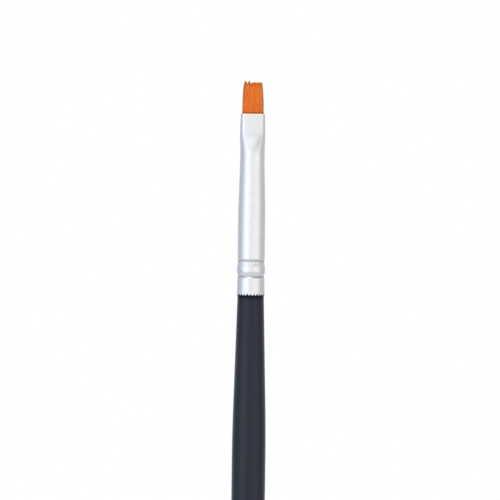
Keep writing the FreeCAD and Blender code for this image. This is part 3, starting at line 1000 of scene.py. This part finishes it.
class BRUSH_OT_hidden_pieces(bpy.types.Operator):
    """Finish the wood, glue, thread and cement inside"""

    bl_idname = "brush.hidden_pieces"
    bl_label = "Hidden pieces"

    def execute(self, context):
        finishes = {
            "handle_core": wood_material(context.scene.brush_handle.wood),
            "tenon_glue": plain_material(
                "dried_glue", (0.62, 0.50, 0.26), low=0.8, high=1.2, scale=1.5,
                roughness=0.45, depth=0.01 * MM,
            ),
            "root_binding": plain_material(
                "binding_thread", (0.72, 0.66, 0.54), low=0.7, high=1.15, scale=18,
                roughness=0.85, depth=0.02 * MM,
            ),
            "root_cement": plain_material(
                "root_cement", (0.42, 0.25, 0.07), low=0.75, high=1.2, scale=1.1,
                roughness=0.3, depth=0.015 * MM,
            ),
        }
        for name, material in finishes.items():
            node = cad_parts[name]
            node.data.materials.clear()
            node.data.materials.append(material)
        return {"FINISHED"}


# ---------------------------------------------------------------- stage

# The light tent round the brush, by the angle from the camera's side, clockwise seen from
# above: brightness and how cool the light is, at the level of the brush and higher up.
TENT_LEVEL = [
    (-180, 0.80, 0.4), (-125, 0.58, 1.0), (-94, 0.58, 1.0), (-76, 0.86, 1.0),
    (-56, 1.24, 0.9), (-38, 1.40, 0.7), (-20, 1.08, 0.4), (0, 0.95, 0.1), (38, 1.06, 0.0),
    (60, 1.06, 0.0), (78, 0.72, 0.2), (97, 0.57, 0.3), (130, 0.60, 0.3), (180, 0.80, 0.4),
]
TENT_HIGH = [
    (-180, 0.80, 0.4), (-90, 0.76, 0.8), (-50, 1.05, 0.6), (-14, 1.00, 0.3), (6, 0.84, 0.1),
    (26, 0.60, 0.1), (56, 0.52, 0.1), (100, 0.62, 0.1), (180, 0.80, 0.4),
]
TENT_GAIN = 1.08

# What full coolness adds to red, green and blue, and the room that it needs above the
# brightest level.
COOL_TINT = (-0.09, -0.03, 0.11)
HEADROOM = 1.12

# The view's centre: how far it lies left of the axis, and how far up the ferrule as a share.
AIM_LEFT = 0.232 * MM
AIM_UP = 0.251


def tent_ramp(tree, angle, stops):
    """Colour of the tent round the brush, smoothly between its stops."""
    ramp = add_node(tree, "ShaderNodeValToRGB", Fac=angle)
    ramp.color_ramp.interpolation = "EASE"
    points = ramp.color_ramp.elements
    while len(points) < len(stops):
        points.new(0.5)
    highest = max(level for _, level, _ in stops) * HEADROOM
    for point, (degrees, level, cool) in zip(points, stops):
        point.position = degrees / 360 + 0.5
        point.color = [level / highest * (1 + part * cool) for part in COOL_TINT] + [1]
    gain = add_node(tree, "ShaderNodeVectorMath", operation="SCALE", Scale=highest * TENT_GAIN)
    feed(tree, gain.inputs[0], ramp.outputs["Color"])
    return gain.outputs["Vector"]


def make_world():
    """A light tent: white to the camera, and brighter and cooler on the left than on the right
    in what it lights and what the metal mirrors."""
    world = bpy.data.worlds.new("light_tent")
    bpy.context.scene.world = world
    world.use_nodes = True
    tree = world.node_tree
    tree.nodes.clear()
    direction = add_node(tree, "ShaderNodeTexCoord").outputs["Generated"]
    parts = add_node(tree, "ShaderNodeSeparateXYZ", Vector=direction)
    angle = add_node(tree, "ShaderNodeMath", operation="ARCTAN2")
    feed(tree, angle.inputs[0], parts.outputs["X"])
    feed(tree, angle.inputs[1], multiply(tree, parts.outputs["Y"], -1.0))
    turned = remap(tree, angle.outputs["Value"], -math.pi, math.pi, 0, 1)
    level = tent_ramp(tree, turned, TENT_LEVEL)
    high = tent_ramp(tree, turned, TENT_HIGH)
    height = remap(tree, parts.outputs["Z"], 0.15, 0.6, 0, 1)
    lighting = add_node(tree, "ShaderNodeBackground", Color=mix_colour(tree, height, level, high))
    white = add_node(tree, "ShaderNodeBackground", Color=(1, 1, 1))
    choose = add_node(tree, "ShaderNodeMixShader")
    seen = add_node(tree, "ShaderNodeLightPath").outputs["Is Camera Ray"]
    sources = (seen, lighting.outputs["Background"], white.outputs["Background"])
    for socket, source in zip(choose.inputs, sources):
        feed(tree, socket, source)
    output = add_node(tree, "ShaderNodeOutputWorld")
    feed(tree, output.inputs["Surface"], choose.outputs["Shader"])


def make_floor(radius):
    """The pale floor that the tail stands on."""
    floor = start_piece("floor", radius, TAIL, 96)
    bpy.ops.object.mode_set(mode="OBJECT")
    material, tree, shader = new_material("pale_floor")
    value = noise(tree, object_space(tree), 0.02)
    shades = ((0.80, 0.80, 0.79), (0.84, 0.84, 0.83))
    feed(tree, shader.inputs["Base Color"], mix_colour(tree, value, *shades))
    shader.inputs["Roughness"].default_value = 0.8
    floor.data.materials.append(material)


def make_camera(sizes):
    """A long lens in front of the brush, its flat side to the camera."""
    data = bpy.data.cameras.new("camera")
    data.lens = sizes.lens
    camera = bpy.data.objects.new("camera", data)
    bpy.context.scene.collection.objects.link(camera)
    distance = sizes.view_height * sizes.lens / data.sensor_width
    camera.location = (-AIM_LEFT, -distance, mix(BACK, MOUTH, AIM_UP))
    camera.rotation_euler = (math.pi / 2, -sizes.lean, 0)
    bpy.context.scene.camera = camera


def make_light(name, place, size, power):
    """A soft square light that looks at the brush."""
    data = bpy.data.lights.new(name, "AREA")
    data.size = size
    data.energy = power
    light = bpy.data.objects.new(name, data)
    bpy.context.scene.collection.objects.link(light)
    light.location = place
    aim = Vector((0, 0, MOUTH)) - light.location
    light.rotation_euler = aim.to_track_quat("-Z", "Y").to_euler()


class BRUSH_OT_stage(bpy.types.Operator):
    """Set the floor, the camera and the studio light"""

    bl_idname = "brush.stage"
    bl_label = "Stage"

    def execute(self, context):
        sizes = context.scene.brush_stage
        make_world()
        make_floor(sizes.floor_radius)
        make_camera(sizes)
        make_light("top", place=(-0.15, -0.4, 1.2), size=0.6, power=3.0)
        context.scene.view_settings.view_transform = "Standard"
        return {"FINISHED"}


# ---------------------------------------------------------------- panel and registration


class BRUSH_PT_panel(bpy.types.Panel):
    """Lists the operators and the settings"""

    bl_idname = "BRUSH_PT_panel"
    bl_label = "Flat detail brush"
    bl_space_type = "VIEW_3D"
    bl_region_type = "UI"
    bl_category = "Brush"

    def draw(self, context):
        for operator, group in STEPS:
            box = self.layout.box()
            box.operator(operator)
            settings = getattr(context.scene, group)
            for name in settings.__annotations__:
                box.prop(settings, name)


GROUPS = {
    "brush_handle": HandleSettings,
    "brush_ferrule": FerruleSettings,
    "brush_tuft": TuftSettings,
    "brush_stage": StageSettings,
}
STEPS = [
    ("brush.lacquer", "brush_handle"),
    ("brush.ferrule", "brush_ferrule"),
    ("brush.tuft", "brush_tuft"),
    ("brush.hidden_pieces", "brush_handle"),
    ("brush.stage", "brush_stage"),
]
CLASSES = [
    *GROUPS.values(),
    BRUSH_OT_lacquer,
    BRUSH_OT_ferrule,
    BRUSH_OT_tuft,
    BRUSH_OT_hidden_pieces,
    BRUSH_OT_stage,
    BRUSH_PT_panel,
]


def register():
    for cls in CLASSES:
        bpy.utils.register_class(cls)
    for name, group in GROUPS.items():
        setattr(bpy.types.Scene, name, PointerProperty(type=group))


def unregister():
    for name in GROUPS:
        delattr(bpy.types.Scene, name)
    for cls in reversed(CLASSES):
        bpy.utils.unregister_class(cls)


def main():
    register()
    bpy.ops.brush.lacquer()
    bpy.ops.brush.ferrule()
    bpy.ops.brush.tuft()
    bpy.ops.brush.hidden_pieces()
    bpy.ops.brush.stage()


if __name__ == "__main__":
    main()
